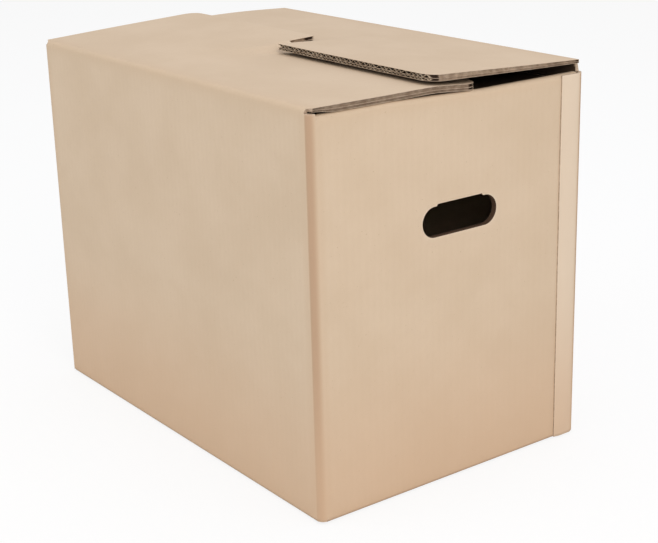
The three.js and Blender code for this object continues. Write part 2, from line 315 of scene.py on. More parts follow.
# A corner post: share runs from 0 at the panel before it to 1 at the panel after it. Its crease value is
# over 1, so that the material tells it from the folds and gives it painted shade.
def cornerPoint(corner, share, value, depth):
    angle = math.radians(corner["from"] + 90 * share)
    stand = corner.get("stand", 0)
    outer = lerp(stand, 0, share) + carton["cornerRadius"]
    thickness = lerp(stand or carton["creasedBoard"], carton["creasedBoard"], share)
    arm = outer - depth * thickness
    x = corner["side"][0] * panels["near"]["half"] + arm * math.cos(angle)
    y = corner["side"][1] * panels["front"]["half"] + arm * math.sin(angle)
    startTop, endTop = (carton[name] for name in corner["tops"])
    top = lerp(startTop, endTop, corner["jump"](share))
    return (x, y, lerp(carton["postFoot"], top, value)), 1 + math.sin(math.pi * share ** 0.6)


cornerSteps = 8


# The top of a post jumps from one height to the other in its first or its last step.
def jumpsFirst(share):
    return min(1, share * cornerSteps)


def jumpsLast(share):
    return max(0, share * cornerSteps - cornerSteps + 1)


corners = {
    "seam": {
        "from": 0,
        "side": (1, 1),
        "tops": ("tabTop", "longPostTop"),
        "jump": jumpsLast,
        "stand": carton["tabStand"],
    },
    "farBack": {"from": 90, "side": (-1, 1), "tops": ("longPostTop", "shortPostTop"), "jump": jumpsLast},
    "nearBack": {"from": 180, "side": (-1, -1), "tops": ("shortPostTop", "nearPostTop"), "jump": jumpsFirst},
    "nearFront": {"from": 270, "side": (1, -1), "tops": ("nearPostTop", "shortPostTop"), "jump": jumpsLast},
}


# The glue tab on the outside of the front panel: share runs from its free edge to the corner.
def tabPoint(share, value, depth):
    panel = panels["front"]
    width = lerp(carton["tabWidthBottom"], carton["tabWidthTop"], value)
    edge = panels["near"]["distance"] - width
    ripple = carton["tabEdgeRipple"] * noise.noise(Vector((value * 9, 3, 1))) * (1 - share)
    u = lerp(edge + ripple, panel["half"], share)
    stand = carton["tabStand"] - carton["tabEdgePress"] * smooth(1 - share * 4)
    y = -stand * (1 - depth * carton["tabFill"])
    z = lerp(carton["tabFoot"], carton["tabTop"], value)
    return inRoom(panel, (u, y, z)), 1 - 0.8 * smooth(share * 2)


def stepped(marks, step):
    lines = []
    for start, end in zip(marks[:-1], marks[1:]):
        count = max(1, round((end - start) / step))
        lines += [lerp(start, end, i / count) for i in range(count)]
    return lines + [marks[-1]]


def mirrored(marks):
    return [-mark for mark in reversed(marks) if mark > 0] + marks


# Marks are where the grid has lines: they lie closer at folds, cut edges and the hand holes.
grid = {
    "longMarks": [0, 3, 6.5, 10, 12, 17, 24, 230, 235, 239, 242, 244, 246, 248],
    "shortMarks": [146, 150, 154, 158, 160],
    "holeMarks": [0, 27.9, 29.1, 31.75, 34, 37, 40, 43, 45.5, 47],
    "holeRiseMarks": [0, 4, 8, 11.5, 14, 15.25],
    "tabShares": [0, 0.08, 0.3, 0.65, 1],
    "tabFlat": 20,
    "foldMarks": [0, 1.25, 2.5, 3.25, 4.1, 5],
    "topMarks": [9, 14, 21, 31, 136, 167, 172, 180, 184, 187, 190, 194, 197, 200],
    "bottomMarks": [0, 1, 2, 3, 4, 8, 12, 16, 20, 33, 190, 200],
    "wallMarks": [4, 9, 16],  # from either fold
    "overHole": [291, 300],
    "stepAcross": 8.5,
    "stepUp": 11,
}


# The columns run round the box from the glue tab's free edge to the end of the front panel beneath it.
def sheetColumns():
    tabFlat = grid["tabFlat"]
    columns = [{"kind": "tab", "share": share, "flat": share * tabFlat} for share in grid["tabShares"]]
    flat = tabFlat
    arc = carton["cornerRadius"] * math.pi / 2
    holeMarks = [handHole["middle"] + mark for mark in mirrored(grid["holeMarks"])]
    farMarks = [-mark for mark in reversed(grid["shortMarks"])]
    marks = {
        "long": stepped(mirrored(grid["longMarks"]), grid["stepAcross"]),
        "short": stepped([*farMarks, *holeMarks, *grid["shortMarks"]], grid["stepAcross"]),
    }
    for corner, name in (("seam", "far"), ("farBack", "back"), ("nearBack", "near"), ("nearFront", "front")):
        for i in range(1, cornerSteps):
            share = i / cornerSteps
            columns.append({"kind": "corner", "corner": corner, "share": share, "flat": flat + share * arc})
        flat += arc
        half = panels[name]["half"]
        for u in marks["long" if "overRise" in panels[name] else "short"]:
            columns.append({"kind": "panel", "panel": name, "u": u, "flat": flat + half + u})
        flat += 2 * half
    return columns


# The rows run from the bottom flaps' free edge, up the walls, to that of the top flaps.
def sheetRows():
    holeMiddle = handHole["bottom"] + handHole["height"] / 2
    holeHeights = [holeMiddle + mark for mark in mirrored(grid["holeRiseMarks"])]
    low = carton["bottomFoldRadius"]
    high = wallTop(panels["front"])
    lowHeights = [low, *(low + mark for mark in grid["wallMarks"])]
    highHeights = [*(high - mark for mark in reversed(grid["wallMarks"])), high]
    heights = stepped([*lowHeights, *holeHeights, *grid["overHole"], *highHeights], grid["stepUp"])
    bottomValues = stepped(grid["bottomMarks"], grid["stepUp"])
    topValues = stepped([*grid["foldMarks"], *grid["topMarks"]], grid["stepUp"])
    rows = [{"zone": "bottom", "value": value} for value in reversed(bottomValues) if value > 0]
    rows += [{"zone": "wall", "value": (height - low) / (high - low)} for height in heights]
    rows += [{"zone": "top", "value": value} for value in topValues if value > 0]
    for row in rows:
        start = {"bottom": 0, "wall": 0, "top": high}[row["zone"]]
        along = row["value"] * (high if row["zone"] == "wall" else 1)
        row["flat"] = -along if row["zone"] == "bottom" else start + along
    return rows


def sheetPoint(column, row, depth):
    if column["kind"] == "corner":
        return cornerPoint(corners[column["corner"]], column["share"], row["value"], depth)
    if column["kind"] == "tab":
        return tabPoint(column["share"], row["value"], depth)
    panel = panels[column["panel"]]
    point, crease = panelPoint(panel, column["u"], row["zone"], row["value"], depth)
    return inRoom(panel, point), crease


# Cells where the sheet is cut away: beside the flaps, in the slots and in the hand holes
def isOpenCell(column, after, row, above):
    zone = row["zone"] if row["zone"] != "wall" else above["zone"]
    if column["kind"] != "panel" or after["kind"] != "panel":
        return zone != "wall"
    u = (column["u"] + after["u"]) / 2
    panel = panels[column["panel"]]
    if "overRise" in panel:
        return zone == "top" and row["value"] >= carton["slotEnd"] and abs(u) < carton["slotHalf"]
    if zone != "wall":
        return False
    height = lerp(carton["bottomFoldRadius"], wallTop(panel), (row["value"] + above["value"]) / 2)
    inHeight = 0 < height - handHole["bottom"] < handHole["height"]
    return inHeight and abs(u - handHole["middle"]) < handHole["width"] / 2


# Cells beside a cut edge, where the board is hollow between its liners
def isHollowCell(column, after, row, above):
    if column["kind"] != "panel" or after["kind"] != "panel":
        return False
    zone = row["zone"] if row["zone"] != "wall" else above["zone"]
    panel = panels[column["panel"]]
    u = abs(column["u"] + after["u"]) / 2
    value = (row["value"] + above["value"]) / 2
    if zone == "wall":
        return False
    if value > rowEnd - carton["openEdge"]:
        return True
    if value < carton["topFoldRadius"] + 1:
        return False
    if u > panel["half"] - carton["sideEdge"]:
        return True
    besideSlot = carton["slotHalf"] < u < carton["slotHalf"] + carton["sideEdge"]
    return "overRise" in panel and zone == "top" and value > carton["slotEnd"] and besideSlot


# How deep the faces of the five layers lie in the board, as shares of its thickness
def layerDepths():
    board = carton["board"]
    liner = carton["liner"]
    flute = carton["outerFlute"]
    return [0, liner / board, (liner + flute) / board, (2 * liner + flute) / board, 1 - liner / board, 1]


flutedLayers = (1, 3)
partKeys = ("points", "faces", "isCut", "creases", "flats", "inners")


# Builds the closed board over a grid of cells in five layers: liner, flutes, liner, flutes, liner.
def layeredBoard(columnCount, rowCount, isOpen, isHollow, pointAt, flatAt, innerAt, rimAt):
    depths = layerDepths()
    layers = len(depths) - 1
    across = columnCount - 1
    up = rowCount - 1
    openCells = [[isOpen(i, j) for j in range(up)] for i in range(across)]
    hollowCells = [[isHollow(i, j) for j in range(up)] for i in range(across)]
    part = {key: [] for key in partKeys}
    index = {}

    def isOutside(i, j):
        return not (0 <= i < across and 0 <= j < up) or openCells[i][j]

    def isFilled(i, j, k):
        if isOutside(i, j) or not 0 <= k < layers:
            return False
        return not (hollowCells[i][j] and k in flutedLayers)

    def corner(i, j, k):
        if (i, j, k) not in index:
            point, crease = pointAt(i, j, depths[k])
            index[(i, j, k)] = len(part["points"])
            part["points"].append(Vector((point[0] + carton["shiftX"], point[1], point[2])) * metre)
            part["creases"].append(crease)
            part["flats"].append(flatAt(i, j))
            part["inners"].append(innerAt(i, j, depths[k]))
        return index[(i, j, k)]

    def addFace(spots, isCut):
        part["faces"].append(tuple(corner(*spot) for spot in spots))
        part["isCut"].append(isCut)

    for i in range(across):
        for j in range(up):
            if openCells[i][j]:
                continue
            ring = [(i, j), (i + 1, j), (i + 1, j + 1), (i, j + 1)]
            neighbours = [(i, j - 1), (i + 1, j), (i, j + 1), (i - 1, j)]
            sides = list(zip(ring, ring[1:] + ring[:1], neighbours))
            for k in range(layers):
                if not isFilled(i, j, k):
                    continue
                if not isFilled(i, j, k - 1):
                    addFace([(*spot, k) for spot in ring], k > 0)
                if not isFilled(i, j, k + 1):
                    addFace([(*spot, k + 1) for spot in reversed(ring)], k < layers - 1)
                for start, end, beside in sides:
                    if isFilled(*beside, k):
                        continue
                    addFace([(*start, k), (*start, k + 1), (*end, k + 1), (*end, k)], True)
                    if isOutside(*beside):
                        for vertex in part["faces"][-1]:
                            part["inners"][vertex] = rimAt(*start)
    return part


def joinedParts(parts):
    whole = {key: [] for key in partKeys}
    for part in parts:
        start = len(whole["points"])
        for key in partKeys:
            if key == "faces":
                whole[key] += [tuple(start + vertex for vertex in face) for face in part[key]]
            else:
                whole[key] += part[key]
    return whole


def boardObject(name, part, materials):
    mesh = bpy.data.meshes.new(name)
    mesh.from_pydata(part["points"], [], part["faces"])
    for material in materials:
        mesh.materials.append(material)
    flatMap = mesh.uv_layers.new(name="flat")
    cutEdges = [0.0] * len(part["points"])
    for polygon, isCut in zip(mesh.polygons, part["isCut"]):
        polygon.material_index = 1 if isCut else 0
        polygon.use_smooth = True
        for loop in polygon.loop_indices:
            vertex = mesh.loops[loop].vertex_index
            flatMap.data[loop].uv = part["flats"][vertex]
            if isCut:
                cutEdges[vertex] = 1.0
    # The inner attribute carries painted shade to the materials.
    for kind, values in (("crease", part["creases"]), ("inner", part["inners"]), ("cutEdge", cutEdges)):
        mesh.attributes.new(kind, "FLOAT", "POINT").data.foreach_set("value", values)
    mesh.set_sharp_from_angle(angle=math.radians(carton["sharpAngle"]))
    mesh.validate()
    built = bpy.data.objects.new(name, mesh)
    bpy.context.scene.collection.objects.link(built)
    return built


# How much painted shade a point gets: 0 in the open, 1 deep among the flutes, 2 beneath the long top flaps
shade = {
    "underFlaps": 2.0,
    "openFlutes": 1.0,
    "handHoleRim": 0.9,  # painted shade on the hand hole's cut edge
    "handFlap": 0.5,
    "groove": 0.4,
    "farGroove": 0.12,
    "wallShare": 0.95,  # a long wall is as dark inside as the flaps above this share of it
}


# Painted shade by panel, zone and depth: darkest under the long top flaps, less in grooves than in open
# flutes
def darkness(name, zone, value, depth):
    isTop = zone == "top"
    if name in ("front", "back") and isTop and value > carton["topFoldRadius"]:
        return shade["underFlaps"]
    isHigh = isTop or zone == "wall" and value > shade["wallShare"]
    if name in ("far", "near") and depth == 1 and isHigh:
        return shade["underFlaps"]
    if value > rowEnd - carton["openEdge"] - 1:
        return shade["openFlutes"]
    if name != "far":
        return shade["groove"]
    return shade["openFlutes"] if isTop and value <= carton["topFoldRadius"] else shade["farGroove"]


def mainSheet():
    columns = sheetColumns()
    rows = sheetRows()

    def isOpen(i, j):
        return isOpenCell(columns[i], columns[i + 1], rows[j], rows[j + 1])

    def isHollow(i, j):
        return isHollowCell(columns[i], columns[i + 1], rows[j], rows[j + 1])

    def pointAt(i, j, depth):
        return sheetPoint(columns[i], rows[j], depth)

    def flatAt(i, j):
        return (columns[i]["flat"] * metre, rows[j]["flat"] * metre)

    def innerAt(i, j, depth):
        return darkness(columns[i].get("panel"), rows[j]["zone"], rows[j]["value"], depth)

    # Painted shade on the cut edge of a hand hole
    def rimAt(i, j):
        isEnd = columns[i].get("panel") in ("front", "back")
        return shade["handHoleRim"] if isEnd and rows[j]["zone"] == "wall" else 0.0

    return layeredBoard(len(columns), len(rows), isOpen, isHollow, pointAt, flatAt, innerAt, rimAt)


# The piece pushed in at a hand hole hangs on its crease along the top edge and points in and up.
def handFlap(panel):
    radius = handHole["height"] / 2
    half = handHole["width"] / 2 - handHole["kerf"]
    reach = handHole["height"] - handHole["kerf"]
    acrossLines = stepped(mirrored([0, half - radius, half - radius / 2, half - 2, half]), 8)
    alongLines = stepped([0, 1, 4, radius, reach - 4, reach - 1.5, reach], 4)
    lean = math.radians(handHole["flapLean"])
    hingeY = carton["board"] + handHole["flapGap"]
    hingeZ = handHole["bottom"] + handHole["height"] + handHole["creaseRise"]

    def pointAt(i, j, depth):
        u = acrossLines[i]
        v = alongLines[j]
        across = (abs(u) - half + radius) / radius
        along = (v - reach / 2) / (reach / 2)
        if across > 0 and along != 0:
            newAcross, newAlong = pulledIn(min(1, across), min(1, abs(along)))
            u = math.copysign(half - radius + newAcross * radius, u)
            v = reach / 2 + math.copysign(newAlong * reach / 2, along)
        share = smooth(v / handHole["creaseReach"])
        inset = (1 - depth) * creased(share)
        y = hingeY + v * math.sin(lean) + inset * math.cos(lean)
        z = hingeZ + v * math.cos(lean) - inset * math.sin(lean)
        return inRoom(panel, (u + handHole["middle"], y, z)), 1 - share

    def flatAt(i, j):
        along = panel["place"] * handHole["sheetPitch"] + acrossLines[i]
        return (along * metre, (handHole["sheetHeight"] - alongLines[j]) * metre)

    def isNever(i, j):
        return False

    # Painted shade on the hand flap, which hangs inside the box
    def innerAt(i, j, depth=0):
        return shade["handFlap"]

    size = (len(acrossLines), len(alongLines))
    return layeredBoard(*size, isNever, isNever, pointAt, flatAt, innerAt, innerAt)


# Node helpers
def feed(tree, node, values):
    for name, value in values.items():
        if isinstance(value, bpy.types.NodeSocket):
            tree.links.new(value, node.inputs[name])
        else:
            node.inputs[name].default_value = value


def newNode(tree, kind, place, **values):
    node = tree.nodes.new(kind)
    node.location = place
    feed(tree, node, values)
    return node


def mathNode(tree, operation, first, second=0.0, place=(0, 0)):
    node = newNode(tree, "ShaderNodeMath", place)
    node.operation = operation
    feed(tree, node, {0: first, 1: second})
    return node.outputs[0]


def addSockets(tree, side, kind, names):
    for name in names:
        tree.interface.new_socket(name, in_out=side, socket_type=kind)


# Wavy sheets between the liners, where cut edges show them
flutes = {
    "outerPitch": 7.9,
    "innerPitch": 6.5,
    "thickness": 0.3,
    "play": 0.1,
    "depth": 9.5,
    "inset": 0.15,
    "endGap": 1,
    "slotGap": 0.3,
    "shortEndGap": 0.5,
    "unevenness": 0.5,
    "wander": 1.6,  # how far a flute strays, in flutes
    "wanderScale": 0.07,
    "wanderInward": 0.25,
    "mergeDistance": 0.001,
    "stepsPerFlute": 14,
    "rows": 4,
    "seed": 11,
    "seedStep": 5,
    "sheetPitch": 600,
}


def fluteTree(material):
    tree = bpy.data.node_groups.new("wavySheet", "GeometryNodeTree")
    numbers = ("Length", "Depth", "Pitch", "Height", "Thickness", "Uneven")
    addSockets(tree, "INPUT", "NodeSocketFloat", numbers)
    addSockets(tree, "INPUT", "NodeSocketInt", ("Columns", "Rows", "Seed"))
    addSockets(tree, "OUTPUT", "NodeSocketGeometry", ("Geometry",))
    given = newNode(tree, "NodeGroupInput", (-1800, 0)).outputs
    plane = newNode(tree, "GeometryNodeMeshGrid", (-600, 300))
    feed(tree, plane, {"Size X": given["Length"], "Size Y": given["Depth"]})
    feed(tree, plane, {"Vertices X": given["Columns"], "Vertices Y": given["Rows"]})
    position = newNode(tree, "GeometryNodeInputPosition", (-1800, -400))
    split = newNode(tree, "ShaderNodeSeparateXYZ", (-1600, -400), Vector=position.outputs[0]).outputs
    # Each flute is a little wider, lower or more crushed than the next.
    inward = mathNode(tree, "MULTIPLY", split["Y"], flutes["wanderInward"], (-1400, -600))
    along = newNode(tree, "ShaderNodeCombineXYZ", (-1200, -500), X=split["X"], Y=inward)
    wander = newNode(tree, "ShaderNodeTexNoise", (-1000, -500), Scale=flutes["wanderScale"], Detail=1.5)
    wander.noise_dimensions = "4D"
    feed(tree, wander, {"Vector": along.outputs[0], "W": given["Seed"]})
    centred = mathNode(tree, "SUBTRACT", wander.outputs["Fac"], 0.5, (-800, -500))
    turns = mathNode(tree, "DIVIDE", split["X"], given["Pitch"], (-1000, -100))
    strayed = mathNode(tree, "MULTIPLY", centred, flutes["wander"], (-600, -300))
    strayed = mathNode(tree, "ADD", turns, strayed, (-400, -200))
    angle = mathNode(tree, "MULTIPLY", strayed, 2 * math.pi, (-200, -200))
    wave = mathNode(tree, "SINE", angle, place=(0, -200))
    crushed = mathNode(tree, "ABSOLUTE", centred, place=(-600, -600))
    crushed = mathNode(tree, "MULTIPLY", crushed, given["Uneven"], (-400, -600))
    halfHeight = mathNode(tree, "SUBTRACT", 0.5, crushed, (-200, -600))
    height = mathNode(tree, "MULTIPLY", given["Height"], halfHeight, (0, -500))
    rise = mathNode(tree, "MULTIPLY", wave, height, (200, -300))
    offset = newNode(tree, "ShaderNodeCombineXYZ", (400, -200), Z=rise).outputs[0]
    waved = newNode(tree, "GeometryNodeSetPosition", (600, 200), Geometry=plane.outputs[0], Offset=offset)
    flip = newNode(tree, "GeometryNodeFlipFaces", (800, 300), Mesh=waved.outputs[0])
    thick = newNode(tree, "ShaderNodeCombineXYZ", (600, -200), Z=given["Thickness"]).outputs[0]
    extrude = newNode(tree, "GeometryNodeExtrudeMesh", (800, 0), Mesh=waved.outputs[0], Offset=thick)
    feed(tree, extrude, {"Individual": False, "Offset Scale": 1.0})
    join = newNode(tree, "GeometryNodeJoinGeometry", (1000, 200))
    for sheet in (flip.outputs[0], extrude.outputs["Mesh"]):
        tree.links.new(sheet, join.inputs[0])
    merge = newNode(tree, "GeometryNodeMergeByDistance", (1200, 200), Geometry=join.outputs[0])
    feed(tree, merge, {"Distance": flutes["mergeDistance"]})
    realize = newNode(tree, "GeometryNodeRealizeInstances", (1400, 200), Geometry=merge.outputs[0])
    paper = newNode(tree, "GeometryNodeSetMaterial", (1600, 200), Geometry=realize.outputs[0])
    feed(tree, paper, {"Material": material})
    newNode(tree, "NodeGroupOutput", (1800, 200), Geometry=paper.outputs[0])
    return tree


def wavySheet(tree, values):
    mesh = bpy.data.meshes.new("flat")
    strip = bpy.data.objects.new("flat", mesh)
    bpy.context.scene.collection.objects.link(strip)
    modifier = strip.modifiers.new("wavySheet", "NODES")
    modifier.node_group = tree
    for item in tree.interface.items_tree:
        if item.in_out == "INPUT":
            modifier[item.identifier] = values[item.name]
    strip.update_tag()
    evaluated = strip.evaluated_get(bpy.context.evaluated_depsgraph_get())
    plain = bpy.data.meshes.new_from_object(evaluated)
    points = [vertex.co.copy() for vertex in plain.vertices]
    faces = [tuple(polygon.vertices) for polygon in plain.polygons]
    bpy.data.objects.remove(strip)
    bpy.data.meshes.remove(plain)
    bpy.data.meshes.remove(mesh)
    return points, faces


def fluteLayers():
    liner = carton["liner"]
    outer = carton["outerFlute"]
    inner = carton["board"] - 3 * liner - outer
    return [
        {"middle": liner + outer / 2, "room": outer, "pitch": flutes["outerPitch"]},
        {"middle": 2 * liner + outer + inner / 2, "room": inner, "pitch": flutes["innerPitch"]},
    ]


# Bends one flat wavy sheet into a top flap's free edge.
def bentSheet(tree, panel, start, end, layer, seed):
    length = end - start
    points, faces = wavySheet(tree, {
        "Length": length,
        "Depth": flutes["depth"],
        "Pitch": layer["pitch"],
        "Height": layer["room"] - flutes["thickness"] - flutes["play"],
        "Thickness": flutes["thickness"],
        "Uneven": flutes["unevenness"],
        "Columns": int(length / layer["pitch"] * flutes["stepsPerFlute"]),
        "Rows": flutes["rows"],
        "Seed": seed,
    })
    part = {key: [] for key in partKeys}
    part["faces"] = faces
    part["isCut"] = [False] * len(faces)
    part["creases"] = [0.0] * len(points)
    for x, y, z in points:
        u = start + length / 2 + x
        v = panel["reach"] - flutes["inset"] - flutes["depth"] / 2 + y
        depth = (layer["middle"] - z + flutes["thickness"] / 2) / carton["board"]
        point, _ = topPoint(panel, u, v, depth)
        room = inRoom(panel, point)
        part["points"].append(Vector((room[0] + carton["shiftX"], room[1], room[2])) * metre)
        part["flats"].append(((panel["place"] * flutes["sheetPitch"] + u) * metre, v * metre))
        # Painted shade grows from the flutes' open edge into the board
        part["inners"].append(0.5 - y / flutes["depth"])
    return part


def fluteParts(tree):
    edges = []
    slotEnd = carton["slotHalf"] + flutes["slotGap"]
    flapEnd = carton["topFlapSpan"] - flutes["endGap"]
    for name in ("near", "far"):
        edges.append((panels[name], -flapEnd, -slotEnd))
        edges.append((panels[name], slotEnd, flapEnd))
    for name in ("front", "back"):
        flapEnd = panels[name]["half"] - flutes["shortEndGap"]
        edges.append((panels[name], -flapEnd, flapEnd))
    parts = []
    for count, (panel, start, end) in enumerate(edges):
        for layer in fluteLayers():
            seed = flutes["seed"] + count * flutes["seedStep"] + round(layer["pitch"])
            parts.append(bentSheet(tree, panel, start, end, layer, seed))
    return parts


# Material helpers
def newMaterial(name):
    material = bpy.data.materials.new(name)
    material.use_nodes = True
    return material, material.node_tree, material.node_tree.nodes["Principled BSDF"]


def attributeValue(tree, name, place):
    node = newNode(tree, "ShaderNodeAttribute", place)
    node.attribute_name = name
    return node.outputs["Fac"]


def groupNode(tree, group, place, **values):
    node = newNode(tree, "ShaderNodeGroup", place)
    node.node_tree = group
    feed(tree, node, values)
    return node.outputs


def mixColour(tree, share, first, second, place):
    node = newNode(tree, "ShaderNodeMix", place)
    node.data_type = "RGBA"
    feed(tree, node, {0: share, 6: first, 7: second})
    return node.outputs[2]


# Lays a tone over a colour, where its share says and as strongly as its strength says
def laidOver(tree, colour, tone, share, strength, place):
    weight = mathNode(tree, "MULTIPLY", share, strength, (place[0] - 150, place[1] - 200))
    return mixColour(tree, weight, colour, tone, place)


def ramp(tree, value, stops, place):
    node = newNode(tree, "ShaderNodeMapRange", place, Value=value)
    node.interpolation_type = "SMOOTHSTEP"
    feed(tree, node, {"From Min": stops[0], "From Max": stops[1]})
    return node.outputs["Result"]


def spread(tree, value, low, high, place):
    node = newNode(tree, "ShaderNodeMapRange", place, Value=value)
    feed(tree, node, {"To Min": low, "To Max": high})
    return node.outputs["Result"]


def linear(red, green, blue):
    def one(value):
        value /= 255
        return value / 12.92 if value <= 0.04045 else ((value + 0.055) / 1.055) ** 2.4
    return (one(red), one(green), one(blue), 1)


paperNoise = {
    "Cloud": {"Scale": 13, "Detail": 5, "Roughness": 0.55},
    "Streaks": {"Scale": 900, "Detail": 3, "Roughness": 0.6},
    "Flecks": {"Scale": 420, "Detail": 2, "Roughness": 0.5},
    "Grain": {"Scale": 1600, "Detail": 2, "Roughness": 0.7},
}

paperBumps = {
    "Wave": {"Strength": 0.2, "Distance": 0.0003},
    "Streaks": {"Strength": 0.3, "Distance": 0.00012},
    "Grain": {"Strength": 0.25, "Distance": 0.0001},
}

kraft = {
    "paper": linear(207, 186, 161),
    "lightPaper": linear(219, 198, 174),
    "darkPaper": linear(196, 172, 144),
    "evenness": 0.78,
    "cloudRange": (0.3, 0.72),
    "fleckRange": (0.68, 0.78),
    "streakStretch": 0.16,
    "creaseShadeBase": 0.45,
    "creaseFocus": 2.2,  # higher keeps the painted crease shade closer to the crease
    "edgeFocus": 5.0,
    "roughness": 0.86,
    "roughnessSpread": 0.08,
    "gloss": 0.25,
    "flutePitch": 0.0079,
    "fluteDrift": 0.35,
}

# Tones laid over the paper, one after the other
tones = {
    "streaks": {"colour": linear(196, 172, 144), "strength": 0.16, "range": (0.25, 0.8)},
    "flecks": {"colour": linear(150, 122, 92), "strength": 0.35},
    # Painted shade between the flutes beneath the liner
    "flutes": {"colour": linear(196, 172, 144), "strength": 0.064},
    # Painted shade along the folds, with some rubbing
    "creases": {"colour": linear(196, 168, 138), "strength": 0.24},
    # Painted shade on the corner posts
    "corners": {"colour": linear(174, 140, 112), "strength": 0.72, "range": (1.0, 1.95)},
    "tab": {"colour": linear(220, 202, 181), "strength": 0.7, "range": (0.022, 0.018)},
    "low": {"colour": linear(204, 172, 142), "strength": 0.6, "range": (0.2, 0.0)},
    # Painted shade on the bottom fold, next to the floor
    "foot": {"colour": linear(150, 122, 96), "strength": 0.55, "range": (0.005, 0.001)},
    # Painted shade on the short top flaps and under the long ones, where little light gets in
    "hidden": {"colour": linear(66, 48, 36), "strength": 0.9, "range": (1.05, 2.0)},
    "cutEdges": {"colour": linear(224, 210, 192), "strength": 0.55, "range": (0.35, 0.65)},
}

# The board where it is cut: patches and fuzz of torn fibres
rawBoard = {
    "patches": {"Scale": 160, "Detail": 4, "Roughness": 0.6},
    "patchRange": (0.3, 0.7),
    "fuzz": {"Scale": 1800, "Detail": 3, "Roughness": 0.7},
    "fuzzRange": (0.4, 0.75),
    "fuzzStrength": 0.35,
    "bump": {"Strength": 0.6, "Distance": 0.0002},
    "roughness": (0.82, 1.0),
    "gloss": 0.15,
}

cutPaper = {
    "cutBoard": {
        "pale": linear(200, 180, 158),
        "dark": linear(158, 136, 116),
        "deep": linear(84, 62, 48),
        "reach": (0.0, 1.0),
    },
    "wavyMedium": {
        "pale": linear(206, 190, 168),
        "dark": linear(170, 150, 128),
        "deep": linear(58, 43, 34),
        "reach": (0.02, 0.3),
    },
}


# Paper fibres: a cloudy tone, short streaks along the sheet and rare dark flecks, from flat coordinates
def fibreGroup():
    tree = bpy.data.node_groups.new("paperFibre", "ShaderNodeTree")
    addSockets(tree, "INPUT", "NodeSocketVector", ("Vector",))
    addSockets(tree, "OUTPUT", "NodeSocketFloat", paperNoise)
    given = newNode(tree, "NodeGroupInput", (-900, 0)).outputs["Vector"]
    end = newNode(tree, "NodeGroupOutput", (500, 0))
    stretched = newNode(tree, "ShaderNodeMapping", (-700, 0), Vector=given)
    feed(tree, stretched, {"Scale": (1.0, kraft["streakStretch"], 1.0)})
    for row, (name, values) in enumerate(paperNoise.items()):
        texture = newNode(tree, "ShaderNodeTexNoise", (-500, 300 - row * 300), **values)
        feed(tree, texture, {"Vector": stretched.outputs[0] if name == "Streaks" else given})
        value = texture.outputs["Fac"]
        if name == "Flecks":
            value = ramp(tree, value, kraft["fleckRange"], (-200, -300))
        feed(tree, end, {name: value})
    return tree


# Faint lines of the flutes beneath the liner: 0 between them, 1 over them
def washboardGroup():
    tree = bpy.data.node_groups.new("washboard", "ShaderNodeTree")
    addSockets(tree, "INPUT", "NodeSocketVector", ("Vector",))
    addSockets(tree, "INPUT", "NodeSocketFloat", ("Pitch",))
    addSockets(tree, "OUTPUT", "NodeSocketFloat", ("Wave",))
    given = newNode(tree, "NodeGroupInput", (-900, 0)).outputs
    drift = newNode(tree, "ShaderNodeTexNoise", (-700, -300), Vector=given["Vector"], Scale=9.0, Detail=1.0)
    split = newNode(tree, "ShaderNodeSeparateXYZ", (-700, 100), Vector=given["Vector"])
    turns = mathNode(tree, "DIVIDE", split.outputs["X"], given["Pitch"], (-450, 100))
    drifted = mathNode(tree, "MULTIPLY", drift.outputs["Fac"], kraft["fluteDrift"], (-450, -300))
    drifted = mathNode(tree, "ADD", turns, drifted, (-250, 100))
    angle = mathNode(tree, "MULTIPLY", drifted, 2 * math.pi, (-50, 100))
    wave = mathNode(tree, "SINE", angle, place=(150, 100))
    halfWave = mathNode(tree, "MULTIPLY", wave, 0.5, (350, 100))
    newNode(tree, "NodeGroupOutput", (700, 0), Wave=mathNode(tree, "ADD", halfWave, 0.5, (500, 100)))
    return tree


# Where each tone lies on the paper, as shares from 0 to 1
def toneShares(tree, flat, fibres, wave, cloud):
    place = newNode(tree, "ShaderNodeTexCoord", (-1700, -900)).outputs["Object"]
    height = newNode(tree, "ShaderNodeSeparateXYZ", (-1500, -900), Vector=place).outputs["Z"]
    across = newNode(tree, "ShaderNodeSeparateXYZ", (-1500, -1300), Vector=flat).outputs["X"]
    crease = attributeValue(tree, "crease", (-1400, -500))
    inner = attributeValue(tree, "inner", (-1400, -1600))
    cutEdge = attributeValue(tree, "cutEdge", (-1400, -750))
    # Creases get streaks of painted shade and some rubbing. Corner posts, whose crease value is over 1, get
    # brown painted shade.
    onCrease = mathNode(tree, "MINIMUM", crease, 1.0, (-1250, -500))
    creaseShadeAndWear = mathNode(tree, "POWER", onCrease, kraft["creaseFocus"], (-1100, -500))
    cloudy = mathNode(tree, "ADD", cloud, kraft["creaseShadeBase"], (-1100, -650))
    # Cut edges are scuffed pale in places.
    onEdge = mathNode(tree, "POWER", cutEdge, kraft["edgeFocus"], (-1100, -750))
    scuffed = ramp(tree, fibres["Grain"], tones["cutEdges"]["range"], (-1100, -850))
    return {
        "streaks": ramp(tree, fibres["Streaks"], tones["streaks"]["range"], (-1100, 150)),
        "flecks": fibres["Flecks"],
        # The board between two flutes sinks a little and gets painted shade.
        "flutes": mathNode(tree, "SUBTRACT", 1.0, wave, (-1100, -200)),
        "creases": mathNode(tree, "MULTIPLY", creaseShadeAndWear, cloudy, (-900, -500)),
        "corners": ramp(tree, crease, tones["corners"]["range"], (-1100, -620)),
        "tab": ramp(tree, across, tones["tab"]["range"], (-1300, -1400)),
        "low": ramp(tree, height, tones["low"]["range"], (-1300, -1000)),
        "foot": ramp(tree, height, tones["foot"]["range"], (-1300, -1200)),
        "hidden": ramp(tree, inner, tones["hidden"]["range"], (-1100, -1600)),
        "cutEdges": mathNode(tree, "MULTIPLY", onEdge, scuffed, (-900, -750)),
    }


